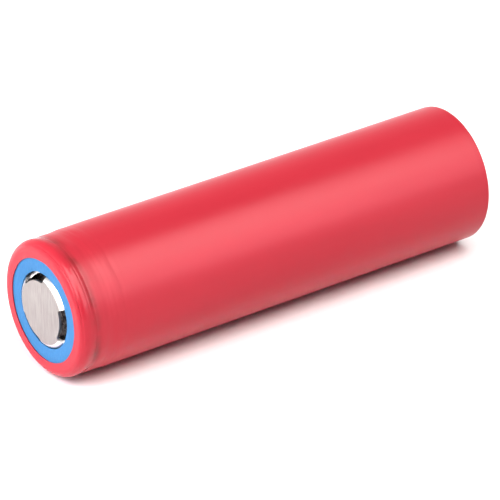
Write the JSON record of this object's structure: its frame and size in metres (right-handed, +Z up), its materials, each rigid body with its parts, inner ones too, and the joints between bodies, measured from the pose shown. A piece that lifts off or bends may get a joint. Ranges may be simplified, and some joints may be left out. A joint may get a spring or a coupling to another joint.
{
  "type": "cylindrical battery cell",
  "caption": "Cylindrical lithium-ion cell lying on its side: shrink sleeve, vented positive cap inside a blue insulating ring, crimped steel can, wound electrodes inside.",
  "frame": {"origin": "on the surface the cell lies on, under the middle of its length", "axes": "the cell's axis lies along Y, the positive terminal looks along -Y and the negative end along +Y, +Z is up"},
  "size_m": [0.0184, 0.0652, 0.0182],
  "materials": {
    "sleeve_film": "pinkish-red heat-shrink film, satin gloss, softly wrinkled at the rim",
    "blue_fibre": "bright blue vulcanised-fibre insulator, matt",
    "nickel_plate": "nickel-plated steel, lightly brushed",
    "can_steel": "deep-drawn nickel-plated steel, satin",
    "aluminium": "stamped aluminium, mill finish",
    "ptc_polymer": "carbon-filled polymer, matt black",
    "clear_pp": "natural polypropylene, milky",
    "white_pp": "white polypropylene, matt",
    "cathode_coat": "black active coating on aluminium foil",
    "anode_coat": "graphite coating on copper foil, dark grey",
    "separator_film": "white porous polyolefin film",
    "nickel_strip": "bright rolled nickel strip",
    "tape_amber": "amber polyimide tape",
    "tape_green": "green polyester tape",
    "pin_steel": "rolled stainless steel tube"
  },
  "bodies": {
    "cell": {"wrap_sleeve": "sleeve_film", "top_insulator_ring": "blue_fibre", "positive_cap": "nickel_plate", "ptc_ring": "ptc_polymer", "vent_disc_rim": "aluminium", "cid_insulator": "white_pp", "cid_weld_plate": "aluminium", "crimp_gasket": "clear_pp", "can": "can_steel", "upper_insulator_disc": "white_pp", "positive_tab": "aluminium", "positive_tab_tape": "tape_amber", "cathode_sheet": "cathode_coat", "anode_sheet": "anode_coat", "separator_inner": "separator_film", "separator_outer": "separator_film", "roll_closing_tape": "tape_green", "centre_pin": "pin_steel", "negative_tab": "nickel_strip", "negative_tab_tape": "tape_amber", "lower_insulator_disc": "white_pp"},
    "vent_centre": {"vent_disc_centre": "aluminium"}
  },
  "joints": [
    {"name": "vent_centre_snap", "type": "slide", "parent": "cell", "child": "vent_centre", "axis": [0, -1, 0], "range_m": [0, 0.00055]}
  ]
}
